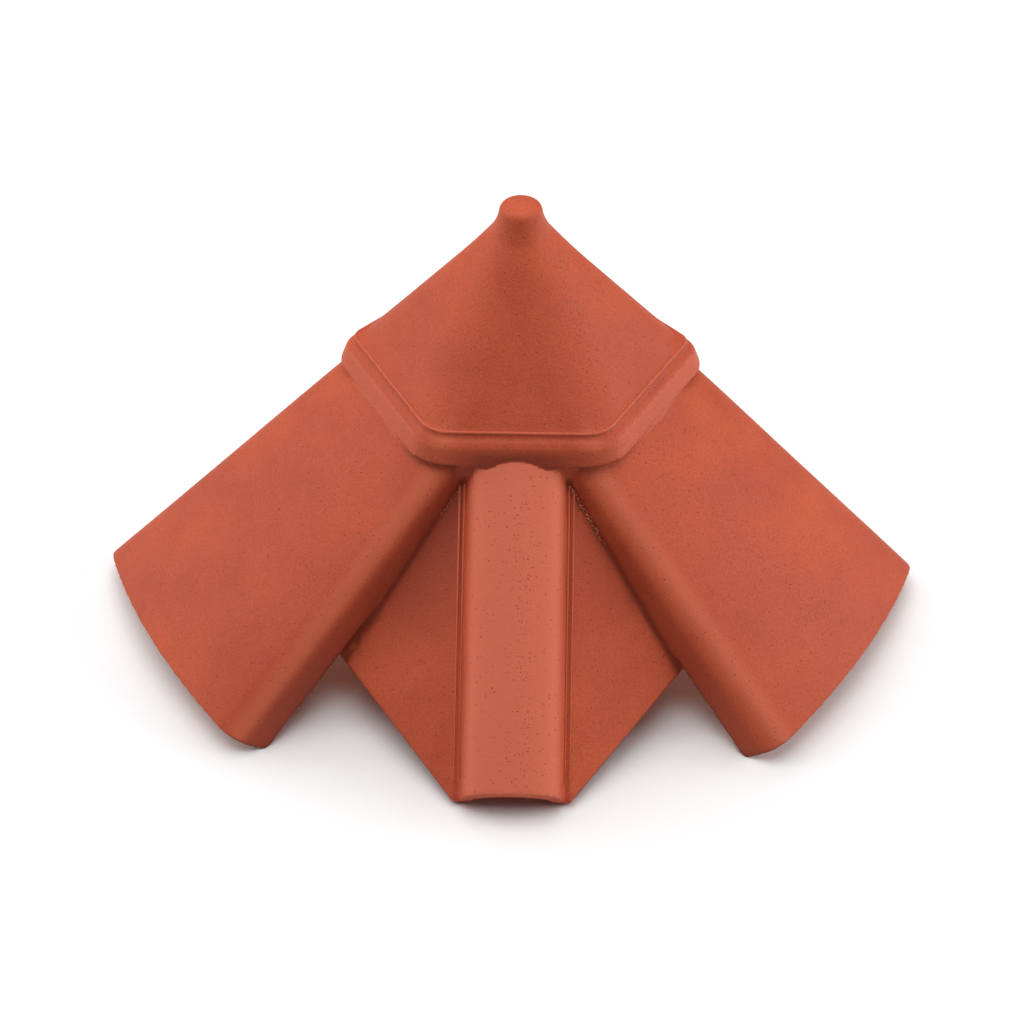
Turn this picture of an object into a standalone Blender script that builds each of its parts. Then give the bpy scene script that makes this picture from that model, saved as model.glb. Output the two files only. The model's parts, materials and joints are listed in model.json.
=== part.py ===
"""Three-way clay apex tile: a capped meeting of two hip arms and a ridge, with a rolled flap in front.

The whole tile is one fired-clay body, open underneath. Lengths are in metres, +Z is up, the viewer
stands on the -Y side and the tile rests on the floor plane Z = 0.
"""
import math

import bmesh
import bpy
from mathutils import Vector

# Clay
WALL = 0.0115               # body thickness of every shell
CLAY_COLOUR = (0.47, 0.108, 0.056, 1.0)
CLAY_ROUGHNESS = 0.62

# Hip arms, one to the front left and one to the front right
ARM_TURN = math.radians(30)     # plan angle from the X axis towards the viewer
ARM_SLOPE = math.radians(38.6)
ARM_REACH = 0.2735              # from the knob's axis to the foot of the end, in plan
ARM_HALF_END = 0.1205           # half width over the skirts at the end
ARM_HALF_ROOT = 0.0895          # the same at ARM_ROOT
ARM_ROOT = 0.120                # plan distance at which the root sizes hold
ARM_HEIGHT_END = 0.0485
ARM_HEIGHT_ROOT = 0.045
ARM_CROWN_END = 0.0176          # rise of the back between the shoulders
ARM_CROWN_ROOT = 0.0125
ARM_SHOULDER = 0.019            # rounding where the back turns into the skirt
ARM_SKIRT_LEAN = math.radians(8)
ARM_END_RAKE = math.radians(13)     # how far the crown leads the skirts at the end
ARM_START = 0.030               # plan distance at which an arm begins inside the cap
ARM_HOLLOW_START = 0.036
SHOULDER_SHARE = 0.8            # most of a skirt or a back that a shoulder's rounding may take
FOOT_FLAT = 0.002               # depth ground off the arm ends and the flap where they stand

# Ridge spigot at the back, level
RIDGE_REACH = 0.092
RIDGE_HALF = 0.066
RIDGE_HEIGHT = 0.0365
RIDGE_CROWN = 0.013

# Cap plan: distance of each side from the knob's axis
CAP_FRONT = 0.1220              # front side and the two sides over the arms
CAP_QUARTER = 0.1018            # the two sides between an arm and the ridge
CAP_BACK = 0.0616
QUARTER_TURN = math.radians(45)     # plan angle at which the quarter sides face
CAP_CORNER = 0.036              # plan rounding of the rim's two front corners
CAP_SIDE_CORNER = 0.022         # the same at its other corners
PYRAMID_CORNER = 0.034          # the same at the foot of the pyramid
FRONT_SOFTENING = 0.85          # how far the two front edges of the pyramid round out towards the knob

# Cap heights and the moulding of its rim
RIM_BOTTOM = 0.175
RIM_HEIGHT = 0.0188
RIM_FLARE = 0.0060              # the rim face leans out by this towards its foot
RIM_CHAMFER = 0.0015            # at the rim's foot
RIM_EDGE = 0.0035               # rounding of the rim's upper edge
COVE_WIDTH = 0.0077             # from the rim's upper edge in to the foot of the pyramid
COVE_RISE = 0.0057
COVE_SAG = 0.0007               # how far the cove is hollowed
BEAD = 0.0014                   # thickness of the thin bead along the foot of the pyramid
KNOB_TOP = 0.322
KNOB_HEIGHT = 0.0225
KNOB_FOOT_RADIUS = 0.0218
KNOB_SIDE_RADIUS = 0.0163
KNOB_TOP_RADIUS = 0.0100
KNOB_EDGE = 0.0054              # rounding of the knob's top edge
KNOB_CROWN = 0.0006             # rise of its top inside that edge
DRUM_INSET = 0.006              # the wall under the rim stands back by this
DRUM_BOTTOM = 0.137
DRUM_HOLLOW_TOP = 0.0070        # height over the rim's foot at which the hollow turns in under the pyramid
CAP_HOLLOW_SHARE = 0.85         # share of the pyramid's height that is hollow

# Rolled flap between the arms
FLAP_REACH = 0.288
FLAP_SLOPE = math.radians(39.5)
FLAP_BITE = 0.010               # how far the flap runs into the rim's wall
ROLL_HALF = 0.037
ROLL_RISE = 0.024
ROLL_CROWN = 0.009
ROLL_SHOULDER = 0.017
ROLL_SIDE_LEAN = math.radians(12)
ROLL_WALL = 0.0075              # thickness of the roll's sides
ROLL_INNER_SHOULDER = 0.010
GROOVE_DEPTH = 0.0016
GROOVE_WIDTH = 0.0045
FLAP_FOOT_HALF = 0.0418         # half width of the straight lower end
FLAP_END_LEAN = math.radians(9.5)  # how far the crown of its end stands back from square
WING_DROOP = math.radians(21.5)
WING_CUT = math.radians(51)     # plan angle of the wing's lower edge
WING_TUCK = 0.009               # how far a wing runs in under the arm's skirt

# Fineness of the curves
SHOULDER_STEPS = 6
CROWN_STEPS = 8
CORNER_STEPS = 7
SIDE_STEPS = 4
PYRAMID_STEPS = 8
EDGE_STEPS = 4
NECK_STEPS = 4
HOLLOW_STEPS = 4
CREASE = math.radians(35)       # faces that turn by less are shaded as one

LEAST_CORNER = 0.004
OVERRUN = 0.030                 # how far a hollow runs past the clay it opens
FLAP_OVERHANG = (WALL + ROLL_RISE) * (math.sin(FLAP_SLOPE) - math.tan(FLAP_END_LEAN) * math.cos(FLAP_SLOPE))
AXIS_Y = (FLAP_REACH + FLAP_OVERHANG - RIDGE_REACH) / 2     # the knob's axis, the depth centred on the origin


def clear_scene():
    for obj in list(bpy.data.objects):
        bpy.data.objects.remove(obj, do_unlink=True)


def clay_material():
    material = bpy.data.materials.new("fired_clay")
    material.use_nodes = True
    shader = material.node_tree.nodes["Principled BSDF"]
    shader.inputs["Base Color"].default_value = CLAY_COLOUR
    shader.inputs["Roughness"].default_value = CLAY_ROUGHNESS
    shader.inputs["Metallic"].default_value = 0.0
    return material


def loft(name, rings):
    """Close a stack of equal rings, each running the same way round, into one solid."""
    mesh = bpy.data.meshes.new(name)
    bm = bmesh.new()
    rows = [[bm.verts.new(point) for point in ring] for ring in rings]
    count = len(rings[0])
    for lower, upper in zip(rows, rows[1:]):
        for i in range(count):
            j = (i + 1) % count
            bm.faces.new((lower[i], lower[j], upper[j], upper[i]))
    bm.faces.new(list(reversed(rows[0])))
    bm.faces.new(rows[-1])
    bmesh.ops.recalc_face_normals(bm, faces=bm.faces)
    bmesh.ops.triangulate(bm, faces=bm.faces)
    bm.to_mesh(mesh)
    bm.free()
    obj = bpy.data.objects.new(name, mesh)
    bpy.context.scene.collection.objects.link(obj)
    return obj


def combine(body, tool, operation):
    """Join, cut or clip the body with the tool, which is used up."""
    modifier = body.modifiers.new(operation.title(), "BOOLEAN")
    modifier.operation = operation
    modifier.solver = "EXACT"
    modifier.object = tool
    graph = bpy.context.evaluated_depsgraph_get()
    result = bpy.data.meshes.new_from_object(body.evaluated_get(graph))
    body.modifiers.remove(modifier)
    body.data = result
    bpy.data.objects.remove(tool, do_unlink=True)
    return body


def arch_half(half, height, crown, shoulder, lean):
    """Right half of an arch section, from the foot of the skirt over the shoulder to the crown."""
    corner = Vector((half - (height - crown) * math.tan(lean), height - crown))
    skirt = Vector((-math.sin(lean), math.cos(lean)))
    back = Vector((-corner.x, 2 * crown)).normalized()
    bend = math.pi - skirt.angle(back)
    run = min(shoulder / math.tan(bend / 2), SHOULDER_SHARE * (height - crown), SHOULDER_SHARE * corner.x)
    start = corner - skirt * run
    edge = corner.x + back.x * run
    end = Vector((edge, height - crown * (edge / corner.x) ** 2))
    points = [Vector((half, 0.0))]
    for i in range(SHOULDER_STEPS + 1):
        f = i / SHOULDER_STEPS
        points.append(start * (1 - f) ** 2 + corner * (2 * f * (1 - f)) + end * f ** 2)
    for i in range(1, CROWN_STEPS + 1):
        x = edge * (1 - i / CROWN_STEPS)
        points.append(Vector((x, height - crown * (x / corner.x) ** 2)))
    return points


def mirror_half(half):
    """Whole section from the right foot over the crown to the left foot."""
    return half + [Vector((-p.x, p.y)) for p in reversed(half[:-1])]


def inner_arch(half, height, crown, shoulder, lean):
    """Section of the hollow under an arch, one wall in, run on below the feet."""
    inner = arch_half(half - WALL / math.cos(lean), height - WALL, crown, max(shoulder - WALL / 2, WALL / 2), lean)
    inner[0] = Vector((inner[0].x + OVERRUN * math.tan(lean), -OVERRUN))
    return mirror_half(inner)


def arm_frame(side):
    """Plan direction, sideways direction, down-slope direction and slope normal of an arm."""
    out = Vector((side * math.cos(ARM_TURN), -math.sin(ARM_TURN), 0))
    across = Vector((-side * math.sin(ARM_TURN), -math.cos(ARM_TURN), 0))
    down = out * math.cos(ARM_SLOPE) - Vector((0, 0, math.sin(ARM_SLOPE)))
    normal = out * math.sin(ARM_SLOPE) + Vector((0, 0, math.cos(ARM_SLOPE)))
    return out, across, down, normal


def arm_sizes(reach):
    """Half width, height and crown of an arm at a plan distance from the axis, along its even taper."""
    f = (reach - ARM_ROOT) / (ARM_REACH - ARM_ROOT)
    half = ARM_HALF_ROOT + (ARM_HALF_END - ARM_HALF_ROOT) * f
    height = ARM_HEIGHT_ROOT + (ARM_HEIGHT_END - ARM_HEIGHT_ROOT) * f
    crown = ARM_CROWN_ROOT + (ARM_CROWN_END - ARM_CROWN_ROOT) * f
    return half, height, crown


def arm_ring(side, reach, section, rake):
    """Place a section across an arm, its foot at the given plan distance from the axis."""
    out, across, down, normal = arm_frame(side)
    rise = (ARM_REACH - reach) * math.tan(ARM_SLOPE) - FOOT_FLAT
    base = Vector((0, AXIS_Y, rise)) + out * reach
    return [base + across * p.x + normal * p.y + down * (p.y * math.tan(rake)) for p in section]


def arm_solid(side):
    rings = []
    for reach, rake in ((ARM_START, 0.0), (ARM_REACH, ARM_END_RAKE)):
        half, height, crown = arm_sizes(reach)
        section = mirror_half(arch_half(half, height, crown, ARM_SHOULDER, ARM_SKIRT_LEAN))
        rings.append(arm_ring(side, reach, section, rake))
    return loft("arm", rings)


def arm_hollow(side):
    rings = []
    for reach in (ARM_HOLLOW_START, ARM_REACH + OVERRUN):
        half, height, crown = arm_sizes(reach)
        section = inner_arch(half, height, crown, ARM_SHOULDER, ARM_SKIRT_LEAN)
        rings.append(arm_ring(side, reach, section, 0.0))
    return loft("arm_hollow", rings)


def ridge_ring(reach, section):
    return [Vector((p.x, AXIS_Y + reach, DRUM_BOTTOM + p.y)) for p in section]


def ridge_solid():
    section = mirror_half(arch_half(RIDGE_HALF, RIDGE_HEIGHT, RIDGE_CROWN, ARM_SHOULDER, ARM_SKIRT_LEAN))
    return loft("ridge", [ridge_ring(0.0, section), ridge_ring(RIDGE_REACH, section)])


def ridge_hollow():
    section = inner_arch(RIDGE_HALF, RIDGE_HEIGHT, RIDGE_CROWN, ARM_SHOULDER, ARM_SKIRT_LEAN)
    return loft("ridge_hollow", [ridge_ring(0.0, section), ridge_ring(RIDGE_REACH + OVERRUN, section)])


def cap_sides():
    """Facing angle and distance of the six sides, anticlockwise from the front."""
    turn = math.pi / 2 - ARM_TURN
    front = -math.pi / 2
    back = math.pi / 2
    quarter = QUARTER_TURN
    return [(front, CAP_FRONT), (front + turn, CAP_FRONT), (quarter, CAP_QUARTER),
            (back, CAP_BACK), (math.pi - quarter, CAP_QUARTER), (front - turn, CAP_FRONT)]


def plan_ring(distances, corners):
    """Outline of the six sides in plan about the axis, each corner rounded by its own radius."""
    facing = [Vector((math.cos(a), math.sin(a))) for a, _ in cap_sides()]
    points = []
    count = len(facing)
    vertices = []
    for i in range(count):
        a, b = facing[i], facing[(i + 1) % count]
        da, db = distances[i], distances[(i + 1) % count]
        det = a.x * b.y - a.y * b.x
        vertices.append(Vector(((da * b.y - db * a.y) / det, (a.x * db - b.x * da) / det)))
    arcs = []
    for i in range(count):
        a, b = facing[i], facing[(i + 1) % count]
        centre = vertices[i] - (a + b) * (corners[i] / (1 + a.dot(b)))
        start = math.atan2(a.y, a.x)
        sweep = a.angle(b)
        arcs.append([centre + corners[i] * Vector((math.cos(start + sweep * k / CORNER_STEPS),
                                                   math.sin(start + sweep * k / CORNER_STEPS)))
                     for k in range(CORNER_STEPS + 1)])
    for i in range(count):
        points.extend(arcs[i])
        nxt = arcs[(i + 1) % count][0]
        for k in range(1, SIDE_STEPS):
            points.append(arcs[i][-1].lerp(nxt, k / SIDE_STEPS))
    return points


def lift(points, height):
    return [Vector((p.x, AXIS_Y + p.y, height)) for p in points]


def corner_list(front, side):
    """Radii of the six corners, the two front ones first and last."""
    corners = [max(side, LEAST_CORNER)] * len(cap_sides())
    corners[0] = corners[-1] = max(front, LEAST_CORNER)
    return corners


def inset_ring(inset):
    """Outline set in from the rim's face, its corners rounded by as much less."""
    distances = [d - inset for _, d in cap_sides()]
    return plan_ring(distances, corner_list(CAP_CORNER - inset, CAP_SIDE_CORNER - inset))


def pyramid_foot():
    return RIM_BOTTOM + RIM_HEIGHT + COVE_RISE


def pyramid_rise():
    return KNOB_TOP - KNOB_HEIGHT - pyramid_foot()


def pyramid_ring(f, inset=0.0):
    """Outline at a fraction of the pyramid's height, from its six-sided foot to the round knob.

    The two front corners round out as the outline climbs, so the front face narrows into a soft bulge.
    """
    distances = [d - RIM_FLARE - COVE_WIDTH - inset for _, d in cap_sides()]
    least = max(PYRAMID_CORNER - RIM_FLARE - inset, LEAST_CORNER)
    soft = least + (distances[0] - least) * FRONT_SOFTENING * (1 - (1 - f) ** 3)
    outline = plan_ring(distances, corner_list(soft, least))
    radius = KNOB_FOOT_RADIUS - inset
    return [p * (1 - f) + p.normalized() * (radius * f) for p in outline]


def circle_ring(radius):
    return [p.normalized() * radius for p in pyramid_ring(1.0)]


def rim_profile():
    """Inset and height pairs up the rim: leaning face, rounded edge, cove and the bead at the pyramid's foot."""
    top = RIM_BOTTOM + RIM_HEIGHT
    foot = RIM_FLARE + COVE_WIDTH
    lean = RIM_FLARE * (RIM_HEIGHT - RIM_EDGE) / RIM_HEIGHT
    pairs = [(RIM_CHAMFER, RIM_BOTTOM), (0.0, RIM_BOTTOM + RIM_CHAMFER), (lean, top - RIM_EDGE)]
    for k in range(1, EDGE_STEPS + 1):
        a = k / EDGE_STEPS * math.pi / 2
        pairs.append((RIM_FLARE + RIM_EDGE * (1 - math.cos(a)), top - RIM_EDGE * (1 - math.sin(a))))
    pairs.append(((RIM_FLARE + RIM_EDGE + foot) / 2, top + COVE_RISE / 2 - COVE_SAG))
    pairs.append((foot - BEAD, pyramid_foot() - BEAD / 2))
    pairs.append((foot - BEAD / 2, pyramid_foot()))
    return pairs


def knob_profile():
    """Radius and height pairs from the knob's foot up its flared neck to its rounded top."""
    foot = KNOB_TOP - KNOB_HEIGHT
    neck = KNOB_HEIGHT - KNOB_EDGE - KNOB_CROWN
    pairs = []
    for k in range(1, NECK_STEPS + 1):
        f = k / NECK_STEPS
        pairs.append((KNOB_SIDE_RADIUS + (KNOB_FOOT_RADIUS - KNOB_SIDE_RADIUS) * (1 - f) ** 2, foot + neck * f))
    for k in range(1, EDGE_STEPS + 1):
        a = k / EDGE_STEPS * math.pi / 2
        pairs.append((KNOB_TOP_RADIUS + (KNOB_SIDE_RADIUS - KNOB_TOP_RADIUS) * math.cos(a),
                      foot + neck + KNOB_EDGE * math.sin(a)))
    pairs.append((KNOB_TOP_RADIUS / 2, KNOB_TOP))
    return pairs


def cap_solid():
    rings = [lift(inset_ring(inset), z) for inset, z in rim_profile()]
    for k in range(PYRAMID_STEPS + 1):
        f = k / PYRAMID_STEPS
        rings.append(lift(pyramid_ring(f), pyramid_foot() + pyramid_rise() * f))
    for radius, z in knob_profile():
        rings.append(lift(circle_ring(radius), z))
    return loft("cap", rings)


def cap_hollow():
    """Hollow of the cap and of the wall below the rim, one wall inside both."""
    run = CAP_FRONT - RIM_FLARE - COVE_WIDTH - KNOB_FOOT_RADIUS
    inset = WALL * math.hypot(run, pyramid_rise()) / pyramid_rise()
    low = inset_ring(DRUM_INSET + WALL)
    rings = [lift(low, DRUM_BOTTOM - OVERRUN), lift(low, RIM_BOTTOM + DRUM_HOLLOW_TOP)]
    for k in range(HOLLOW_STEPS + 1):
        f = CAP_HOLLOW_SHARE * k / HOLLOW_STEPS
        rings.append(lift(pyramid_ring(f, inset), pyramid_foot() + pyramid_rise() * f))
    return loft("cap_hollow", rings)


def drum_solid():
    ring = inset_ring(DRUM_INSET)
    return loft("drum", [lift(ring, DRUM_BOTTOM), lift(ring, RIM_BOTTOM + RIM_HEIGHT / 2)])


def flap_section():
    """Closed section of the flap: its top from one wing over the roll to the other, and its underside."""
    span = ARM_HALF_END * 2
    top = []
    roll = arch_half(ROLL_HALF, ROLL_RISE, ROLL_CROWN, ROLL_SHOULDER, ROLL_SIDE_LEAN)
    edge = ROLL_HALF + GROOVE_WIDTH
    droop = math.tan(WING_DROOP)
    top.append(Vector((span, -(span - edge) * droop)))
    top.append(Vector((edge, 0.0)))
    top.append(Vector((ROLL_HALF + GROOVE_WIDTH / 2, -GROOVE_DEPTH)))
    top.extend(roll)
    whole = mirror_half(top)
    under = arch_half(ROLL_HALF - ROLL_WALL, ROLL_RISE, ROLL_CROWN, ROLL_INNER_SHOULDER, ROLL_SIDE_LEAN)
    bottom = [Vector((span, -(span - edge) * droop - WALL / math.cos(WING_DROOP))), Vector((edge, -WALL))]
    bottom.extend(Vector((p.x, p.y - WALL)) for p in under)
    return whole + list(reversed(mirror_half(bottom)))


def flap_frame():
    """Foot point, up-slope direction and normal of the flap's underside."""
    foot = Vector((0, AXIS_Y - FLAP_REACH, -FOOT_FLAT))
    up = Vector((0, math.cos(FLAP_SLOPE), math.sin(FLAP_SLOPE)))
    normal = Vector((0, -math.sin(FLAP_SLOPE), math.cos(FLAP_SLOPE)))
    return foot, up, normal


def flap_ring(distance, section, lean):
    """Place the flap's section, its underside at a distance up the slope and its crown leaning up it."""
    foot, up, normal = flap_frame()
    ring = []
    for p in section:
        lifted = p.y + WALL
        ring.append(foot + up * (distance + lifted * math.tan(lean)) + Vector((p.x, 0, 0)) + normal * lifted)
    return ring


def tuck_point(reach):
    """Point under the arm's skirt where the wing ends, as width and distance up the flap's slope."""
    out, across, _, _ = arm_frame(1)
    foot, up, _ = flap_frame()
    half, _, _ = arm_sizes(reach)
    rise = (ARM_REACH - reach) * math.tan(ARM_SLOPE)
    point = Vector((0, AXIS_Y, rise)) + out * reach + across * (half - WING_TUCK)
    return Vector((point.x, (point - foot).dot(up)))


def crossing(a, along_a, b, along_b):
    """Where two straight lines of a plane meet."""
    gap = b - a
    det = along_a.y * along_b.x - along_a.x * along_b.y
    return a + along_a * ((gap.y * along_b.x - gap.x * along_b.y) / det)


def flap_length():
    return (FLAP_REACH - CAP_FRONT + FLAP_BITE) / math.cos(FLAP_SLOPE)


def flap_outline():
    """Outline of the flap on its own slope, from the right foot round to the left foot."""
    root = tuck_point(ARM_ROOT)
    slant = tuck_point(ARM_REACH) - root
    cut = Vector((math.cos(WING_CUT), math.sin(WING_CUT)))
    low = Vector((FLAP_FOOT_HALF, 0)) - cut * WALL
    corner = crossing(low, cut, root, slant)
    top = crossing(Vector((0, flap_length() + 2 * WALL)), Vector((1, 0)), root, slant)
    right = [low, corner, top]
    return right + [Vector((-p.x, p.y)) for p in reversed(right)]


def flap_solid():
    section = flap_section()
    flap = loft("flap", [flap_ring(0.0, section, FLAP_END_LEAN), flap_ring(flap_length(), section, FLAP_SLOPE)])
    foot, up, normal = flap_frame()
    rings = [[foot + Vector((p.x, 0, 0)) + up * p.y + normal * height for p in flap_outline()]
             for height in (-ARM_REACH, ARM_REACH)]
    return combine(flap, loft("flap_clip", rings), "INTERSECT")


def floor_cutter():
    half = 2 * ARM_REACH
    ring = [Vector((x, AXIS_Y + y, 0)) for x, y in ((-half, -half), (half, -half), (half, half), (-half, half))]
    return loft("floor", [[p - Vector((0, 0, half)) for p in ring], ring])


def build_tile():
    tile = cap_solid()
    for solid in (drum_solid(), ridge_solid(), arm_solid(-1), arm_solid(1)):
        combine(tile, solid, "UNION")
    for hollow in (cap_hollow(), ridge_hollow(), arm_hollow(-1), arm_hollow(1)):
        combine(tile, hollow, "DIFFERENCE")
    combine(tile, flap_solid(), "UNION")
    combine(tile, floor_cutter(), "DIFFERENCE")
    tile.name = "apex_tile"
    tile.data.name = "apex_tile"
    tile.data.materials.clear()
    tile.data.materials.append(clay_material())
    tile.data.shade_smooth()
    tile.data.set_sharp_from_angle(angle=CREASE)
    return tile


clear_scene()
build_tile()
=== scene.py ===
import json
import math

import bmesh
import bpy
import numpy as np
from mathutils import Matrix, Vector
from mathutils.bvhtree import BVHTree

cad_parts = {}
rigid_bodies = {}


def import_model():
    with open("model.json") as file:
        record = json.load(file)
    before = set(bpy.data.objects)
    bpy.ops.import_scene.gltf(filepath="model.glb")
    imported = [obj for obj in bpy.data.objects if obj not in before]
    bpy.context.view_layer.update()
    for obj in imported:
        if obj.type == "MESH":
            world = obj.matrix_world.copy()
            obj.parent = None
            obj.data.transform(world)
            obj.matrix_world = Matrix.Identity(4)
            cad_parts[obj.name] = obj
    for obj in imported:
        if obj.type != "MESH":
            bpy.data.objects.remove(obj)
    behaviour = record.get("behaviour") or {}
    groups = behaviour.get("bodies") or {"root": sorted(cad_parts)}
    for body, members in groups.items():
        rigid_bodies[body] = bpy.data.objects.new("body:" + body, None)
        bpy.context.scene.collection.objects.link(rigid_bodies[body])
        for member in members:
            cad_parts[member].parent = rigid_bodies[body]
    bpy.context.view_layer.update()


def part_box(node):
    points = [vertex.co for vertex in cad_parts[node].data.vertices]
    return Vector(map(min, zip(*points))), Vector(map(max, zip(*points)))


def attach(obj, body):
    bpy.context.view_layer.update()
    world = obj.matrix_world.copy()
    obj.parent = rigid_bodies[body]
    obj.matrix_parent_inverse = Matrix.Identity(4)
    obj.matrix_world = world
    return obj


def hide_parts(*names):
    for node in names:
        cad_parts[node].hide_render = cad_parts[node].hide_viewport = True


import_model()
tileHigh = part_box("apex_tile")[1]

# what every part of the body shares
body = {
    "wall": 0.0115,
    "floorCut": 0.002,                  # ground off where the arms and the flap stand
    "shoulderShare": 0.8,               # most of a skirt or back that a shoulder may take
    "shoulderSteps": 12,
    "crownSteps": 16,
    "cornerSteps": 12,
    "sideSteps": 10,
    "overrun": 0.03,
}


# small helpers

def loft(name, rings):
    # a stack of equal rings closed into one solid
    mesh = bpy.data.meshes.new(name)
    bm = bmesh.new()
    rows = [[bm.verts.new(point) for point in ring] for ring in rings]
    count = len(rings[0])
    for lower, upper in zip(rows, rows[1:]):
        for i in range(count):
            j = (i + 1) % count
            bm.faces.new((lower[i], lower[j], upper[j], upper[i]))
    bm.faces.new(list(reversed(rows[0])))
    bm.faces.new(rows[-1])
    bmesh.ops.recalc_face_normals(bm, faces=bm.faces)
    bmesh.ops.triangulate(bm, faces=bm.faces)
    bm.to_mesh(mesh)
    bm.free()
    obj = bpy.data.objects.new(name, mesh)
    bpy.context.scene.collection.objects.link(obj)
    return obj


def bakeModifiers(obj):
    # the evaluated shape becomes the object's own mesh
    graph = bpy.context.evaluated_depsgraph_get()
    mesh = bpy.data.meshes.new_from_object(obj.evaluated_get(graph))
    obj.modifiers.clear()
    obj.data = mesh
    used = [m for m in mesh.materials if m]
    mesh.materials.clear()
    for material in used:
        mesh.materials.append(material)
    return obj


def combine(target, tool, operation):
    modifier = target.modifiers.new(operation.title(), "BOOLEAN")
    modifier.operation = operation
    modifier.solver = "EXACT"
    modifier.object = tool
    bakeModifiers(target)
    bpy.data.objects.remove(tool, do_unlink=True)
    return target


def archHalf(half, height, crown, shoulder, lean):
    # right half of an arch: skirt, rounded shoulder, gently crowned back
    corner = Vector((half - (height - crown) * math.tan(lean), height - crown))
    skirt = Vector((-math.sin(lean), math.cos(lean)))
    back = Vector((-corner.x, 2 * crown)).normalized()
    bend = math.pi - skirt.angle(back)
    share = body["shoulderShare"]
    run = min(shoulder / math.tan(bend / 2), share * (height - crown), share * corner.x)
    start = corner - skirt * run
    edge = corner.x + back.x * run
    end = Vector((edge, height - crown * (edge / corner.x) ** 2))
    points = [Vector((half, 0.0))]
    for i in range(body["shoulderSteps"] + 1):
        f = i / body["shoulderSteps"]
        points.append(start * (1 - f) ** 2 + corner * (2 * f * (1 - f)) + end * f ** 2)
    for i in range(1, body["crownSteps"] + 1):
        x = edge * (1 - i / body["crownSteps"])
        points.append(Vector((x, height - crown * (x / corner.x) ** 2)))
    return points


def mirrorHalf(half):
    return half + [Vector((-p.x, p.y)) for p in reversed(half[:-1])]


def innerArch(half, height, crown, shoulder, lean):
    wall = body["wall"]
    rounding = max(shoulder - wall / 2, wall / 2)
    inner = archHalf(half - wall / math.cos(lean), height - wall, crown, rounding, lean)
    inner[0] = Vector((inner[0].x + body["overrun"] * math.tan(lean), -body["overrun"]))
    return mirrorHalf(inner)


# flap between the arms; its sizes place the knob's axis in the frame
flap = {
    "reach": 0.288,
    "slope": math.radians(39.5),
    "bite": 0.010,
    "rollHalf": 0.037,
    "rollRise": 0.0230,
    "rollCrown": 0.0092,
    "rollShoulder": 0.028,
    "rollLean": math.radians(12),
    "rollWall": 0.0075,
    "rollInnerShoulder": 0.014,
    "grooveDepth": 0.0016,
    "grooveWidth": 0.0045,
    "footHalf": 0.0418,
    "endLean": math.radians(9.5),
    "droop": math.radians(21.5),
    "wingCut": math.radians(51),
    "tuck": 0.009,
}
ridge = {"reach": 0.092, "half": 0.066, "height": 0.0365, "crown": 0.013}
axisY = tileHigh.y - ridge["reach"]     # the knob stands over this line of the frame

arm = {
    "turn": math.radians(30),
    "slope": math.radians(38.6),
    "reach": 0.2735,
    "root": 0.120,
    "halfEnd": 0.1205,
    "halfRoot": 0.0895,
    "heightEnd": 0.0485,
    "heightRoot": 0.045,
    "crownEnd": 0.0176,
    "crownRoot": 0.0125,
    "shoulder": 0.025,
    "lean": math.radians(8),
    "endRake": math.radians(13),
    "start": 0.030,
    "hollowStart": 0.036,
    "skew": 0.0062,                     # both ends sit this much to the left
}


def armFrame(side):
    out = Vector((side * math.cos(arm["turn"]), -math.sin(arm["turn"]), 0))
    across = Vector((-side * math.sin(arm["turn"]), -math.cos(arm["turn"]), 0))
    down = out * math.cos(arm["slope"]) - Vector((0, 0, math.sin(arm["slope"])))
    normal = out * math.sin(arm["slope"]) + Vector((0, 0, math.cos(arm["slope"])))
    return out, across, down, normal


def armSizes(reach):
    f = (reach - arm["root"]) / (arm["reach"] - arm["root"])
    half = arm["halfRoot"] + (arm["halfEnd"] - arm["halfRoot"]) * f
    height = arm["heightRoot"] + (arm["heightEnd"] - arm["heightRoot"]) * f
    crown = arm["crownRoot"] + (arm["crownEnd"] - arm["crownRoot"]) * f
    return half, height, crown


def armBase(side, reach):
    out = armFrame(side)[0]
    rise = (arm["reach"] - reach) * math.tan(arm["slope"]) - body["floorCut"]
    drift = arm["skew"] * (reach - arm["start"]) / (arm["reach"] - arm["start"])
    return Vector((-drift, axisY, rise)) + out * reach


def armRing(side, reach, section, rake):
    _, across, down, normal = armFrame(side)
    base = armBase(side, reach)
    return [base + across * p.x + normal * p.y + down * (p.y * math.tan(rake)) for p in section]


def armSolid(side):
    rings = []
    for reach, rake in ((arm["start"], 0.0), (arm["reach"], arm["endRake"])):
        section = mirrorHalf(archHalf(*armSizes(reach), arm["shoulder"], arm["lean"]))
        rings.append(armRing(side, reach, section, rake))
    return loft("arm", rings)


def armHollow(side):
    rings = []
    for reach in (arm["hollowStart"], arm["reach"] + body["overrun"]):
        section = innerArch(*armSizes(reach), arm["shoulder"], arm["lean"])
        rings.append(armRing(side, reach, section, 0.0))
    return loft("armHollow", rings)


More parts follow.
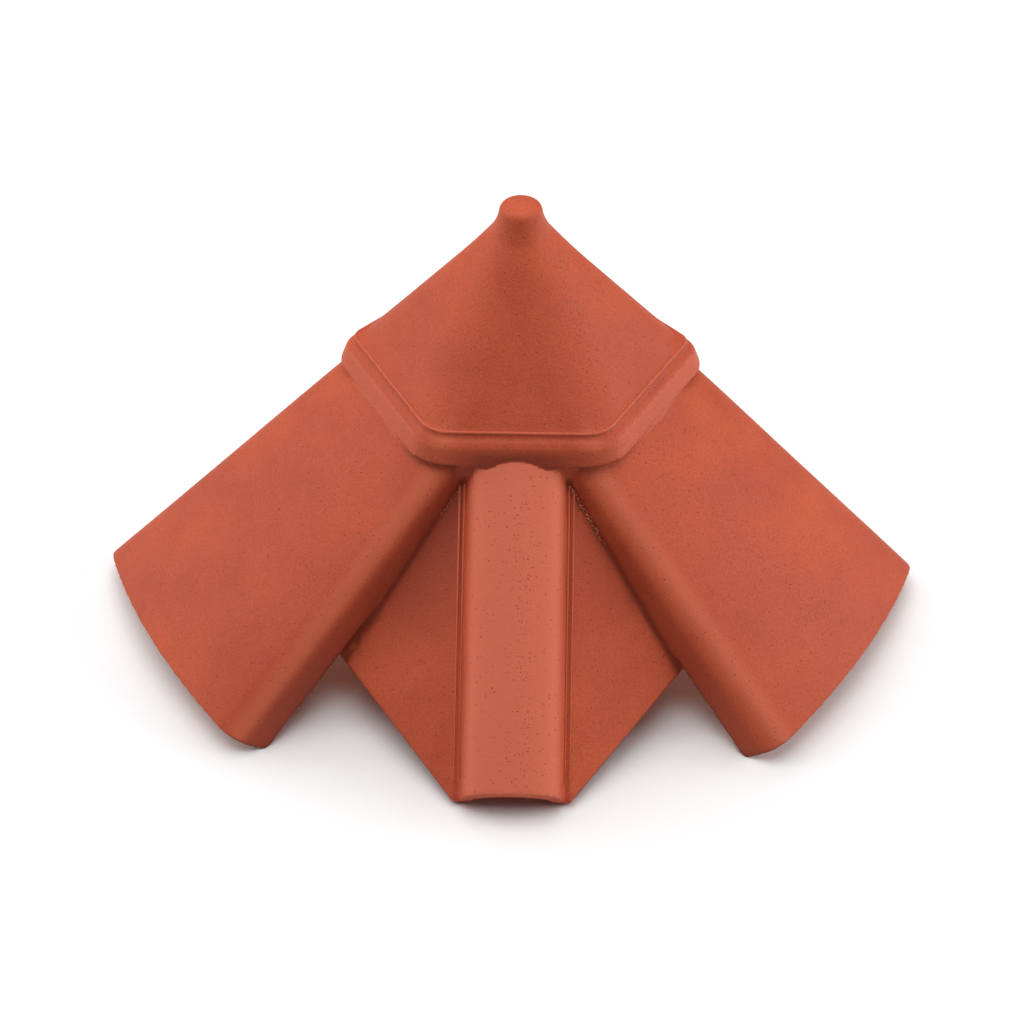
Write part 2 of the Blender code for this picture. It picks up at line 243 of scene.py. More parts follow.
# six-sided cap, its rim and the drum under it
cap = {
    "front": 0.1220,
    "quarter": 0.1018,
    "back": 0.0616,
    "quarterTurn": math.radians(45),
    "corner": 0.036,
    "sideCorner": 0.022,
    "pyramidCorner": 0.034,
    "frontSoftening": 0.85,
    "leastCorner": 0.004,
    "rimBottom": 0.175,
    "rimHeight": 0.0188,
    "rimFlare": 0.0060,
    "rimChamfer": 0.0015,
    "rimEdge": 0.0035,
    "coveWidth": 0.0077,
    "coveRise": 0.0057,
    "coveSag": 0.0007,
    "bead": 0.0014,
    "knobHeight": 0.0225,
    "knobFoot": 0.0218,
    "knobSide": 0.0160,
    "knobTop": 0.0112,
    "knobEdge": 0.0052,
    "knobCrown": 0.0006,
    "knobFlare": 1.5,                   # how quickly the neck narrows
    "drumInset": 0.006,
    "drumBottom": 0.137,
    "drumHollowTop": 0.0070,
    "hollowShare": 0.85,
    "pyramidSteps": 24,
    "edgeSteps": 8,
    "hollowSteps": 6,
}
knobZ = tileHigh.z


def capSides():
    turn = math.pi / 2 - arm["turn"]
    front = -math.pi / 2
    quarter = cap["quarterTurn"]
    return [(front, cap["front"]), (front + turn, cap["front"]), (quarter, cap["quarter"]),
            (math.pi / 2, cap["back"]), (math.pi - quarter, cap["quarter"]), (front - turn, cap["front"])]


def planRing(distances, corners):
    # outline of the six sides about the axis, each corner rounded by its own radius
    facing = [Vector((math.cos(a), math.sin(a))) for a, _ in capSides()]
    count = len(facing)
    arcs = []
    for i in range(count):
        a, b = facing[i], facing[(i + 1) % count]
        da, db = distances[i], distances[(i + 1) % count]
        det = a.x * b.y - a.y * b.x
        vertex = Vector(((da * b.y - db * a.y) / det, (a.x * db - b.x * da) / det))
        centre = vertex - (a + b) * (corners[i] / (1 + a.dot(b)))
        start = math.atan2(a.y, a.x)
        sweep = a.angle(b)
        arcs.append([centre + corners[i] * Vector((math.cos(start + sweep * k / body["cornerSteps"]),
                                                   math.sin(start + sweep * k / body["cornerSteps"])))
                     for k in range(body["cornerSteps"] + 1)])
    points = []
    for i in range(count):
        points.extend(arcs[i])
        after = arcs[(i + 1) % count][0]
        for k in range(1, body["sideSteps"]):
            points.append(arcs[i][-1].lerp(after, k / body["sideSteps"]))
    return points


def lift(points, height):
    return [Vector((p.x, axisY + p.y, height)) for p in points]


def cornerList(front, side):
    corners = [max(side, cap["leastCorner"])] * len(capSides())
    corners[0] = corners[-1] = max(front, cap["leastCorner"])
    return corners


def insetRing(inset):
    corners = cornerList(cap["corner"] - inset, cap["sideCorner"] - inset)
    return planRing([d - inset for _, d in capSides()], corners)


def pyramidFoot():
    return cap["rimBottom"] + cap["rimHeight"] + cap["coveRise"]


def pyramidRise():
    return knobZ - cap["knobHeight"] - pyramidFoot()


def pyramidRing(f, inset=0.0):
    # the two front corners round out as the outline climbs to the round knob
    distances = [d - cap["rimFlare"] - cap["coveWidth"] - inset for _, d in capSides()]
    least = max(cap["pyramidCorner"] - cap["rimFlare"] - inset, cap["leastCorner"])
    soft = least + (distances[0] - least) * cap["frontSoftening"] * (1 - (1 - f) ** 3)
    radius = cap["knobFoot"] - inset
    return [p * (1 - f) + p.normalized() * (radius * f) for p in planRing(distances, cornerList(soft, least))]


def rimProfile():
    # leaning face, rounded edge, cove and the foot of the pyramid, as inset and height
    top = cap["rimBottom"] + cap["rimHeight"]
    foot = cap["rimFlare"] + cap["coveWidth"]
    edge = cap["rimEdge"]
    lean = cap["rimFlare"] * (cap["rimHeight"] - edge) / cap["rimHeight"]
    pairs = [(cap["rimChamfer"], cap["rimBottom"]), (0.0, cap["rimBottom"] + cap["rimChamfer"]),
             (lean, top - edge)]
    for k in range(1, cap["edgeSteps"] + 1):
        a = k / cap["edgeSteps"] * math.pi / 2
        pairs.append((cap["rimFlare"] + edge * (1 - math.cos(a)), top - edge * (1 - math.sin(a))))
    pairs.append(((cap["rimFlare"] + edge + foot) / 2, top + cap["coveRise"] / 2 - cap["coveSag"]))
    pairs.append((foot - cap["bead"], pyramidFoot() - cap["bead"] / 2))
    pairs.append((foot - cap["bead"] / 2, pyramidFoot()))
    return pairs


def knobProfile():
    # flared neck and rounded top, as radius and height
    foot = knobZ - cap["knobHeight"]
    neck = cap["knobHeight"] - cap["knobEdge"] - cap["knobCrown"]
    pairs = []
    for k in range(1, cap["edgeSteps"] + 1):
        f = k / cap["edgeSteps"]
        flare = (cap["knobFoot"] - cap["knobSide"]) * (1 - f) ** cap["knobFlare"]
        pairs.append((cap["knobSide"] + flare, foot + neck * f))
    for k in range(1, cap["edgeSteps"] + 1):
        a = k / cap["edgeSteps"] * math.pi / 2
        pairs.append((cap["knobTop"] + (cap["knobSide"] - cap["knobTop"]) * math.cos(a),
                      foot + neck + cap["knobEdge"] * math.sin(a)))
    pairs.append((cap["knobTop"] / 2, knobZ))
    return pairs


def capSolid():
    rings = [lift(insetRing(inset), z) for inset, z in rimProfile()]
    for k in range(cap["pyramidSteps"] + 1):
        f = k / cap["pyramidSteps"]
        rings.append(lift(pyramidRing(f), pyramidFoot() + pyramidRise() * f))
    tip = [p.normalized() for p in pyramidRing(1.0)]
    for radius, z in knobProfile():
        rings.append(lift([p * radius for p in tip], z))
    return loft("cap", rings)


def capHollow():
    run = cap["front"] - cap["rimFlare"] - cap["coveWidth"] - cap["knobFoot"]
    inset = body["wall"] * math.hypot(run, pyramidRise()) / pyramidRise()
    low = insetRing(cap["drumInset"] + body["wall"])
    rings = [lift(low, cap["drumBottom"] - body["overrun"]),
             lift(low, cap["rimBottom"] + cap["drumHollowTop"])]
    for k in range(cap["hollowSteps"] + 1):
        f = cap["hollowShare"] * k / cap["hollowSteps"]
        rings.append(lift(pyramidRing(f, inset), pyramidFoot() + pyramidRise() * f))
    return loft("capHollow", rings)


def drumSolid():
    ring = insetRing(cap["drumInset"])
    top = cap["rimBottom"] + cap["rimHeight"] / 2
    return loft("drum", [lift(ring, cap["drumBottom"]), lift(ring, top)])


def ridgeRing(reach, section):
    return [Vector((p.x, axisY + reach, cap["drumBottom"] + p.y)) for p in section]


def ridgeSolid():
    half = archHalf(ridge["half"], ridge["height"], ridge["crown"], arm["shoulder"], arm["lean"])
    section = mirrorHalf(half)
    return loft("ridge", [ridgeRing(0.0, section), ridgeRing(ridge["reach"], section)])


def ridgeHollow():
    section = innerArch(ridge["half"], ridge["height"], ridge["crown"], arm["shoulder"], arm["lean"])
    far = ridge["reach"] + body["overrun"]
    return loft("ridgeHollow", [ridgeRing(0.0, section), ridgeRing(far, section)])


def flapFrame():
    foot = Vector((0, axisY - flap["reach"], -body["floorCut"]))
    up = Vector((0, math.cos(flap["slope"]), math.sin(flap["slope"])))
    normal = Vector((0, -math.sin(flap["slope"]), math.cos(flap["slope"])))
    return foot, up, normal


def flapSection():
    span = arm["halfEnd"] * 2
    wall = body["wall"]
    edge = flap["rollHalf"] + flap["grooveWidth"]
    droop = math.tan(flap["droop"])
    top = [Vector((span, -(span - edge) * droop)), Vector((edge, 0.0)),
           Vector((flap["rollHalf"] + flap["grooveWidth"] * 0.5, -flap["grooveDepth"]))]
    top.extend(archHalf(flap["rollHalf"], flap["rollRise"], flap["rollCrown"], flap["rollShoulder"],
                        flap["rollLean"]))
    under = archHalf(flap["rollHalf"] - flap["rollWall"], flap["rollRise"], flap["rollCrown"],
                     flap["rollInnerShoulder"], flap["rollLean"])
    bottom = [Vector((span, -(span - edge) * droop - wall / math.cos(flap["droop"]))), Vector((edge, -wall))]
    bottom.extend(Vector((p.x, p.y - wall)) for p in under)
    return mirrorHalf(top) + list(reversed(mirrorHalf(bottom)))


def flapRing(distance, section, lean):
    foot, up, normal = flapFrame()
    ring = []
    for p in section:
        lifted = p.y + body["wall"]
        place = foot + up * (distance + lifted * math.tan(lean)) + normal * lifted
        ring.append(place + Vector((p.x, 0, 0)))
    return ring


def flapLength():
    return (flap["reach"] - cap["front"] + flap["bite"]) / math.cos(flap["slope"])


def wingTop(x):
    # height of the wing's outside over the flap's plane, at this width
    edge = flap["rollHalf"] + flap["grooveWidth"]
    return body["wall"] - (abs(x) - edge) * math.tan(flap["droop"])


def tuckPoint(side, reach):
    # where the wing ends under the arm's skirt, as width and distance up the flap's slope
    foot, up, _ = flapFrame()
    point = armBase(side, reach) + armFrame(side)[1] * (armSizes(reach)[0] - flap["tuck"])
    point.z += body["floorCut"]
    return Vector((point.x, (point - foot).dot(up)))


def crossing(a, alongA, b, alongB):
    gap = b - a
    det = alongA.y * alongB.x - alongA.x * alongB.y
    return a + alongA * ((gap.y * alongB.x - gap.x * alongB.y) / det)


def flapSolid():
    section = flapSection()
    solid = loft("flap", [flapRing(0.0, section, flap["endLean"]),
                          flapRing(flapLength(), section, flap["slope"])])
    outline = []
    for side in (1, -1):
        root = tuckPoint(side, arm["root"])
        slant = tuckPoint(side, arm["reach"]) - root
        cut = Vector((side * math.cos(flap["wingCut"]), math.sin(flap["wingCut"])))
        low = Vector((side * flap["footHalf"], 0)) - cut * body["wall"]
        top = crossing(Vector((0, flapLength() + 2 * body["wall"])), Vector((1, 0)), root, slant)
        half = [low, crossing(low, cut, root, slant), top]
        outline.extend(half if side > 0 else reversed(half))
    foot, up, normal = flapFrame()
    rings = [[foot + Vector((p.x, 0, 0)) + up * p.y + normal * height for p in outline]
             for height in (-arm["reach"], arm["reach"])]
    return combine(solid, loft("flapClip", rings), "INTERSECT")


def floorCutter():
    half = 2 * arm["reach"]
    corners = ((-half, -half), (half, -half), (half, half), (-half, half))
    ring = [Vector((x, axisY + y, 0)) for x, y in corners]
    return loft("floorCut", [[p - Vector((0, 0, half)) for p in ring], ring])


# how the pressed body is softened and made uneven by hand
handwork = {
    "voxel": 0.0011,
    "smoothing": 10,
    "softness": 0.5,
    "wave": 0.0009,             # slow unevenness of the surfaces
    "waveSize": 8.0,
    "ripple": 0.00022,          # quick unevenness
    "rippleSize": 55.0,
    "seed": 3.0,
    "triangles": 185000,
}


def geometryTree(name, sockets):
    # an empty tree with geometry in and out and the named inputs
    tree = bpy.data.node_groups.new(name, "GeometryNodeTree")
    tree.interface.new_socket("Geometry", in_out="INPUT", socket_type="NodeSocketGeometry")
    for label, kind in sockets:
        tree.interface.new_socket(label, in_out="INPUT", socket_type=kind)
    tree.interface.new_socket("Geometry", in_out="OUTPUT", socket_type="NodeSocketGeometry")
    return tree, tree.nodes.new("NodeGroupInput"), tree.nodes.new("NodeGroupOutput")


def setInputs(modifier, values):
    # values go in by the socket's identifier
    for item in modifier.node_group.interface.items_tree:
        if item.item_type == "SOCKET" and item.in_out == "INPUT" and item.name in values:
            modifier[item.identifier] = values[item.name]


def operate(tree, kind, operation, *values):
    # a math node; each value is a socket or a constant
    node = tree.nodes.new(kind)
    node.operation = operation
    for socket, value in zip(node.inputs, values):
        if hasattr(value, "is_linked"):
            tree.links.new(value, socket)
        else:
            socket.default_value = value
    return node.outputs[0]


def scaleVector(tree, vector, amount):
    node = tree.nodes.new("ShaderNodeVectorMath")
    node.operation = "SCALE"
    tree.links.new(vector, node.inputs[0])
    tree.links.new(amount, node.inputs["Scale"])
    return node.outputs["Vector"]


def moveBy(tree, geometry, offset):
    node = tree.nodes.new("GeometryNodeSetPosition")
    tree.links.new(geometry, node.inputs["Geometry"])
    tree.links.new(offset, node.inputs["Offset"])
    return node.outputs["Geometry"]


def coatAndClose(tree, geometry, inlet, outlet):
    # real geometry in the given clay
    real = tree.nodes.new("GeometryNodeRealizeInstances")
    tree.links.new(geometry, real.inputs["Geometry"])
    surfaceLayer = tree.nodes.new("GeometryNodeSetMaterial")
    tree.links.new(real.outputs["Geometry"], surfaceLayer.inputs["Geometry"])
    tree.links.new(inlet.outputs["Clay"], surfaceLayer.inputs["Material"])
    tree.links.new(surfaceLayer.outputs["Geometry"], outlet.inputs["Geometry"])


def handworkTree():
    tree, inlet, outlet = geometryTree("handwork", [
        ("Wave", "NodeSocketFloat"), ("Wave Size", "NodeSocketFloat"), ("Ripple", "NodeSocketFloat"),
        ("Ripple Size", "NodeSocketFloat"), ("Seed", "NodeSocketFloat"), ("Clay", "NodeSocketMaterial")])
    nodes, links = tree.nodes, tree.links
    position = nodes.new("GeometryNodeInputPosition")
    normal = nodes.new("GeometryNodeInputNormal")
    heights = []
    for amount, size, detail in (("Wave", "Wave Size", 1.0), ("Ripple", "Ripple Size", 3.0)):
        texture = nodes.new("ShaderNodeTexNoise")
        texture.noise_dimensions = "4D"
        texture.inputs["Detail"].default_value = detail
        links.new(position.outputs["Position"], texture.inputs["Vector"])
        links.new(inlet.outputs[size], texture.inputs["Scale"])
        links.new(inlet.outputs["Seed"], texture.inputs["W"])
        centred = operate(tree, "ShaderNodeMath", "SUBTRACT", texture.outputs["Fac"], 0.5)
        heights.append(operate(tree, "ShaderNodeMath", "MULTIPLY", centred, inlet.outputs[amount]))
    total = operate(tree, "ShaderNodeMath", "ADD", *heights)
    push = scaleVector(tree, normal.outputs["Normal"], total)
    coatAndClose(tree, moveBy(tree, inlet.outputs["Geometry"], push), inlet, outlet)
    return tree


# materials

def shaderGroup(name, inputs, outputs):
    group = bpy.data.node_groups.new(name, "ShaderNodeTree")
    for label, kind, value in inputs:
        group.interface.new_socket(label, in_out="INPUT", socket_type=kind).default_value = value
    for label, kind in outputs:
        group.interface.new_socket(label, in_out="OUTPUT", socket_type=kind)
    return group, group.nodes.new("NodeGroupInput"), group.nodes.new("NodeGroupOutput")


def ramp(nodes, places, greys):
    node = nodes.new("ShaderNodeValToRGB")
    for element, place, grey in zip(node.color_ramp.elements, places, greys):
        element.position = place
        element.color = (grey, grey, grey, 1.0)
    return node


# pinholes by cell: how much more often the pitted bands hold one, and their sizes as shares of a cell
pinholes = {
    "pittedGain": 0.80,
    "smallest": 0.16,
    "largest": 0.40,
}


def firedGrainGroup():
    # slow mottling, fine grain and dark pinholes of a coated clay body
    group, inlet, outlet = shaderGroup("firedGrain", [
        ("Vector", "NodeSocketVector", (0, 0, 0)), ("Mottle Scale", "NodeSocketFloat", 16.0),
        ("Grain Scale", "NodeSocketFloat", 900.0), ("Pinhole Scale", "NodeSocketFloat", 420.0),
        ("Pinhole Share", "NodeSocketFloat", 0.1), ("Pitted", "NodeSocketFloat", 0.0)],
        [("Mottle", "NodeSocketFloat"), ("Grain", "NodeSocketFloat"), ("Pinholes", "NodeSocketFloat"),
         ("Height", "NodeSocketFloat")])
    nodes, links = group.nodes, group.links

    def noiseNode(scaleName, detail, rough):
        node = nodes.new("ShaderNodeTexNoise")
        node.inputs["Detail"].default_value = detail
        node.inputs["Roughness"].default_value = rough
        links.new(inlet.outputs["Vector"], node.inputs["Vector"])
        links.new(inlet.outputs[scaleName], node.inputs["Scale"])
        return node

    mottle = noiseNode("Mottle Scale", 4.0, 0.55)
    grain = noiseNode("Grain Scale", 2.0, 0.6)
    cells = nodes.new("ShaderNodeTexVoronoi")
    cells.feature = "F1"
    links.new(inlet.outputs["Vector"], cells.inputs["Vector"])
    links.new(inlet.outputs["Pinhole Scale"], cells.inputs["Scale"])
    # each cell has a random value: only a share of them holds a pinhole, of its own size
    chance = nodes.new("ShaderNodeSeparateColor")
    links.new(cells.outputs["Color"], chance.inputs["Color"])
    share = operate(group, "ShaderNodeMath", "MULTIPLY_ADD", inlet.outputs["Pitted"], pinholes["pittedGain"],
                    inlet.outputs["Pinhole Share"])
    rare = operate(group, "ShaderNodeMath", "LESS_THAN", chance.outputs["Red"], share)
    size = nodes.new("ShaderNodeMapRange")
    size.inputs["To Min"].default_value = pinholes["smallest"]
    size.inputs["To Max"].default_value = pinholes["largest"]
    links.new(chance.outputs["Green"], size.inputs["Value"])
    spot = nodes.new("ShaderNodeMapRange")
    spot.interpolation_type = "SMOOTHSTEP"
    spot.inputs["From Min"].default_value = 0.0
    spot.inputs["To Min"].default_value = 1.0
    spot.inputs["To Max"].default_value = 0.0
    links.new(cells.outputs["Distance"], spot.inputs["Value"])
    links.new(size.outputs["Result"], spot.inputs["From Max"])
    holes = operate(group, "ShaderNodeMath", "MULTIPLY", spot.outputs["Result"], rare)
    height = operate(group, "ShaderNodeMath", "SUBTRACT", grain.outputs["Fac"], holes)
    links.new(mottle.outputs["Fac"], outlet.inputs["Mottle"])
    links.new(grain.outputs["Fac"], outlet.inputs["Grain"])
    links.new(holes, outlet.inputs["Pinholes"])
    links.new(height, outlet.inputs["Height"])
    return group


def mixColour(nodes, links, factor, a, b, mode="MIX"):
    # a and b are colours or sockets; the node's colour sockets are inputs 6 and 7 and output 2
    node = nodes.new("ShaderNodeMix")
    node.data_type = "RGBA"
    node.blend_type = mode
    if hasattr(factor, "is_linked"):
        links.new(factor, node.inputs[0])
    else:
        node.inputs[0].default_value = factor
    for index, value in ((6, a), (7, b)):
        if hasattr(value, "is_linked"):
            links.new(value, node.inputs[index])
        else:
            node.inputs[index].default_value = value
    return node.outputs[2]


engobe = {
    "deep": (0.440, 0.062, 0.022, 1.0),
    "bright": (0.520, 0.084, 0.030, 1.0),
    "paintedSheen": (0.640, 0.138, 0.068, 1.0),         # painted sheen on the roll and the rim's sides and painted highlight along the arms' shoulders and on the beads
    "paintedShade": (0.170, 0.018, 0.004, 1.0),         # painted shade in the seams, on the arms' skirts, on the wings and low on the rim's front above the roll
    "bare": (0.560, 0.185, 0.100, 1.0),         # uncoated clay underneath
    "pinhole": (0.090, 0.018, 0.010, 1.0),
    "mottleSpan": (0.34, 0.66),                 # noise values over which deep turns bright
    "grainSpan": (0.3, 0.7),
    "grainTint": (0.86, 1.1),
    "roughSpan": (0.3, 0.7),
    "roughness": (0.54, 0.66),
    "specular": 0.32,
    "bump": (0.6, 0.0006),                      # strength and depth
    "grain": {"Pinhole Share": 0.20, "Grain Scale": 620.0, "Pinhole Scale": 460.0},
}
# raw crumbs, without a coat
gritClay = {
    **engobe,
    "deep": (0.500, 0.120, 0.060, 1.0),
    "bright": (0.640, 0.230, 0.140, 1.0),
    "roughness": (0.6, 0.8),
    "specular": 0.3,
    "grain": {"Pinhole Share": 0.0},
}


def clayMaterial(name, grainGroup, colours):
    material = bpy.data.materials.new(name)
    material.use_nodes = True
    nodes, links = material.node_tree.nodes, material.node_tree.links
    shader = nodes["Principled BSDF"]
    place = nodes.new("ShaderNodeTexCoord")
    grain = nodes.new("ShaderNodeGroup")
    grain.node_tree = grainGroup
    links.new(place.outputs["Object"], grain.inputs["Vector"])
    for label, value in colours["grain"].items():
        grain.inputs[label].default_value = value
    pitted = nodes.new("ShaderNodeAttribute")
    pitted.attribute_name = "pitted"
    links.new(pitted.outputs["Fac"], grain.inputs["Pitted"])
    soft = ramp(nodes, colours["mottleSpan"], (0.0, 1.0))
    links.new(grain.outputs["Mottle"], soft.inputs["Fac"])
    colour = mixColour(nodes, links, soft.outputs["Color"], colours["deep"], colours["bright"])
    fine = ramp(nodes, colours["grainSpan"], colours["grainTint"])
    links.new(grain.outputs["Grain"], fine.inputs["Fac"])
    colour = mixColour(nodes, links, 1.0, colour, fine.outputs["Color"], "MULTIPLY")
    # painted sheen, painted shade and the bare clay are laid over the colour, each by its attribute
    for surfaceLayer in ("paintedSheen", "paintedShade", "bare"):
        cover = nodes.new("ShaderNodeAttribute")
        cover.attribute_name = surfaceLayer
        colour = mixColour(nodes, links, cover.outputs["Fac"], colour, colours[surfaceLayer])
    colour = mixColour(nodes, links, grain.outputs["Pinholes"], colour, colours["pinhole"])
    links.new(colour, shader.inputs["Base Color"])
    rough = nodes.new("ShaderNodeMapRange")
    rough.inputs["From Min"].default_value, rough.inputs["From Max"].default_value = colours["roughSpan"]
    rough.inputs["To Min"].default_value, rough.inputs["To Max"].default_value = colours["roughness"]
    links.new(grain.outputs["Mottle"], rough.inputs["Value"])
    links.new(rough.outputs["Result"], shader.inputs["Roughness"])
    shader.inputs["Specular IOR Level"].default_value = colours["specular"]
    bump = nodes.new("ShaderNodeBump")
    bump.inputs["Strength"].default_value, bump.inputs["Distance"].default_value = colours["bump"]
    links.new(grain.outputs["Height"], bump.inputs["Height"])
    links.new(bump.outputs["Normal"], shader.inputs["Normal"])
    return material


# the body

def buildBody(clay):
    tile = capSolid()
    for solid in (drumSolid(), ridgeSolid(), armSolid(-1), armSolid(1)):
        combine(tile, solid, "UNION")
    hollows = []
    for hollow in (capHollow(), ridgeHollow(), armHollow(-1), armHollow(1)):
        hollows.append(BVHTree.FromObject(hollow, bpy.context.evaluated_depsgraph_get()))
        combine(tile, hollow, "DIFFERENCE")
    combine(tile, flapSolid(), "UNION")
    combine(tile, floorCutter(), "DIFFERENCE")
    print("body: shapes joined")
    remesh = tile.modifiers.new("Fuse", "REMESH")
    remesh.mode = "VOXEL"
    remesh.voxel_size = handwork["voxel"]
    soften = tile.modifiers.new("Soften", "SMOOTH")
    soften.factor = handwork["softness"]
    soften.iterations = handwork["smoothing"]
    uneven = tile.modifiers.new("Handwork", "NODES")
    uneven.node_group = handworkTree()
    setInputs(uneven, {"Wave": handwork["wave"], "Wave Size": handwork["waveSize"],
                       "Ripple": handwork["ripple"], "Ripple Size": handwork["rippleSize"],
                       "Seed": handwork["seed"], "Clay": clay})
    bakeModifiers(tile)
    count = sum(len(p.vertices) - 2 for p in tile.data.polygons)
    print("body: fused into", count, "triangles")
    thin = tile.modifiers.new("Thin", "DECIMATE")
    thin.ratio = min(1.0, handwork["triangles"] / count)
    bakeModifiers(tile)
    tile.data.shade_smooth()
    markSurfaces(tile, hollows)
    return tile


# where the clay is bare, where sheen or shade is painted into its colour and where its skin is pitted. Turns
# are upward facings, spans run from where a tone begins to where it is full, and lines in plan are measured
# from the knob's axis
skin = {
    "innerReach": 0.004,                    # bare this near to the hollow
    "innerTurn": 0.35,
    "frontLine": -0.1,                      # the flap and the rim's front lie before it
    "rollSheen": (0.039, 0.029),             # painted sheen: span from the roll's side inwards
    "rollTop": 0.6,                         # share of the rim's height that the roll's crown stays under
    "rollTurn": 0.5,
    "rimClear": 0.001,                      # how far beyond the rim's face and lower edge it still counts
    "rimTurn": 0.6,
    # painted reflection of the side lamps on the rim's sides
    "rimSheen": 0.5,
    "rimSheenSpan": (0.055, 0.085),
    # painted shade low on the rim's front, above the roll
    "rimShade": 0.80,
    "rimShadeSpan": (0.07, 0.015),
    "rimShadeRise": (0.9, 0.4),              # shares of the rim's height
    "armStart": 0.08,
    "armSide": 0.045,
    # painted highlight along each arm's near shoulder
    "shoulderHighlight": 0.75,
    "shoulderLine": (0.014, 0.013),         # inset from the arm's edge, and half width
    "shoulderTurn": (0.25, 0.5),
    "shoulderSpan": (0.08, 0.12),
    # painted shade on the arms' skirts
    "skirtShade": 0.80,
    "skirtTurn": (0.45, 0.0),
    "skirtWidth": 0.03,
    "wingShadow": {-1: (0.75, 0.150), 1: (0.25, 0.130)},  # painted shadow on each wing: strength, and reach from the rim down each wing
    "wingGap": 0.003,                       # how far from the wing's plane a point still is on it
    "wingTurn": 0.2,
    "wingEdge": 0.008,                      # how far it runs in under the arm
    # painted shade in the crease where a wing meets an arm
    "seamShade": 0.95,
    "seamSpan": (0.0055, 0.001),            # distance from the seam
    "seamPath": (0.08, 0.21, 60),           # start, end and steps along the arm
    "seamZone": (0.02, -0.08),
    "rollBand": (0.006, 0.013),             # pitted line on the roll and its half width
    "rollBandStart": -0.125,
    "capBand": ((0.030, -0.020), (0.066, -0.105), 0.012),   # ends in plan and half width
    "armBand": ((0.105, -0.085), (0.225, -0.150), 0.020),
    "bandTurn": 0.1,
}


def bandMask(x, y, start, end, width):
    # 1 on a line in plan from start to end, fading to 0 at the width
    ax, ay = end[0] - start[0], end[1] - start[1]
    along = np.clip(((x - start[0]) * ax + (y - start[1]) * ay) / (ax * ax + ay * ay), 0, 1)
    gap = np.hypot(x - start[0] - ax * along, y - start[1] - ay * along)
    return np.clip(1 - gap / width, 0, 1)


def fade(values, start, end):
    # 0 at start, 1 at end, eased between them
    f = np.clip((values - start) / (end - start), 0, 1)
    return f * f * (3 - 2 * f)


def rollAndRimMasks(x, y, z, up):
    # painted sheen on the roll and on the rim's sides, painted shade on the rim above the roll
    front = y < skin["frontLine"]
    below = (y < -cap["front"] - skin["rimClear"]) | (up > skin["rollTurn"])
    onFlap = below & front & (z < cap["rimBottom"] + cap["rimHeight"] * skin["rollTop"])
    paintedSheen = fade(np.abs(x), *skin["rollSheen"]) * onFlap * (up > 0)
    onRim = (z < cap["rimBottom"] + cap["rimHeight"]) & (z > cap["rimBottom"] - skin["rimClear"])
    onRim &= up < skin["rimTurn"]
    paintedSheen = np.maximum(paintedSheen, skin["rimSheen"] * onRim * fade(np.abs(x), *skin["rimSheenSpan"]))
    rise = [cap["rimBottom"] + share * cap["rimHeight"] for share in skin["rimShadeRise"]]
    paintedShade = skin["rimShade"] * onRim * front * fade(np.abs(x), *skin["rimShadeSpan"]) * fade(z, *rise)
    return paintedSheen, paintedShade


def seamShadeMask(side, x, y, z):
    # painted shade along the line where a wing meets an arm
    start, end, steps = skin["seamPath"]
    mask = np.zeros(len(x))
    inner, front = skin["seamZone"]
    nearby = np.flatnonzero((side * x > inner) & (y < front))
    spots = np.column_stack([x, y + axisY, z])[nearby]
    gap = np.full(len(nearby), np.inf)
    for k in range(steps + 1):
        point = np.array(seamPoint(side, start + (end - start) * k / steps))
        gap = np.minimum(gap, np.linalg.norm(spots - point, axis=1))
    mask[nearby] = fade(gap, *skin["seamSpan"]) * skin["seamShade"]
    return mask


def paintedLightMasks(place, facing):
    # how much painted sheen and painted shade the coat gets at each point
    x, y, z = place[:, 0], place[:, 1] - axisY, place[:, 2]
    up = facing[:, 2]
    paintedSheen, paintedShade = rollAndRimMasks(x, y, z, up)
    foot, flapUp, flapNormal = (np.array(v) for v in flapFrame())
    height = (place - foot) @ flapNormal
    climb = (place - foot) @ flapUp
    onWing = (np.abs(height - wingTop(x)) < skin["wingGap"]) & (up > skin["wingTurn"])
    onWing &= climb < flapLength()
    inset, width = skin["shoulderLine"]
    for side in (-1, 1):
        out, across, _, _ = armFrame(side)
        reach = x * out.x + y * out.y
        half = armSizes(reach)[0]
        offset = x * across.x + y * across.y
        onArm = (offset > 0) & (reach > skin["armStart"]) & (side * x > skin["armSide"])
        # painted highlight along the shoulder
        highlightLine = skin["shoulderHighlight"] * fade(np.abs(offset - half + inset), width, 0.0) * onArm
        highlightLine = highlightLine * fade(up, *skin["shoulderTurn"]) * fade(reach, *skin["shoulderSpan"])
        paintedSheen = np.maximum(paintedSheen, highlightLine)
        # painted shade on the skirt
        skirt = onArm & (offset > half - skin["skirtWidth"]) & (facing[:, 1] < 0)
        paintedShade = np.maximum(paintedShade, skin["skirtShade"] * fade(up, *skin["skirtTurn"]) * skirt)
        # painted shadow on the wing below the rim, stronger on the left
        strength, length = skin["wingShadow"][side]
        wing = onWing & (side * x > skin["rollSheen"][0]) & (offset > half - skin["wingEdge"])
        paintedShade = np.maximum(paintedShade, strength * fade(climb, flapLength() - length, flapLength()) * wing)
        # painted shade along the seam
        paintedShade = np.maximum(paintedShade, seamShadeMask(side, x, y, z))
    return paintedSheen, paintedShade


def vertexVectors(collection, field, count):
    values = np.empty(count * 3)
    collection.foreach_get(field, values)
    return values.reshape(-1, 3)


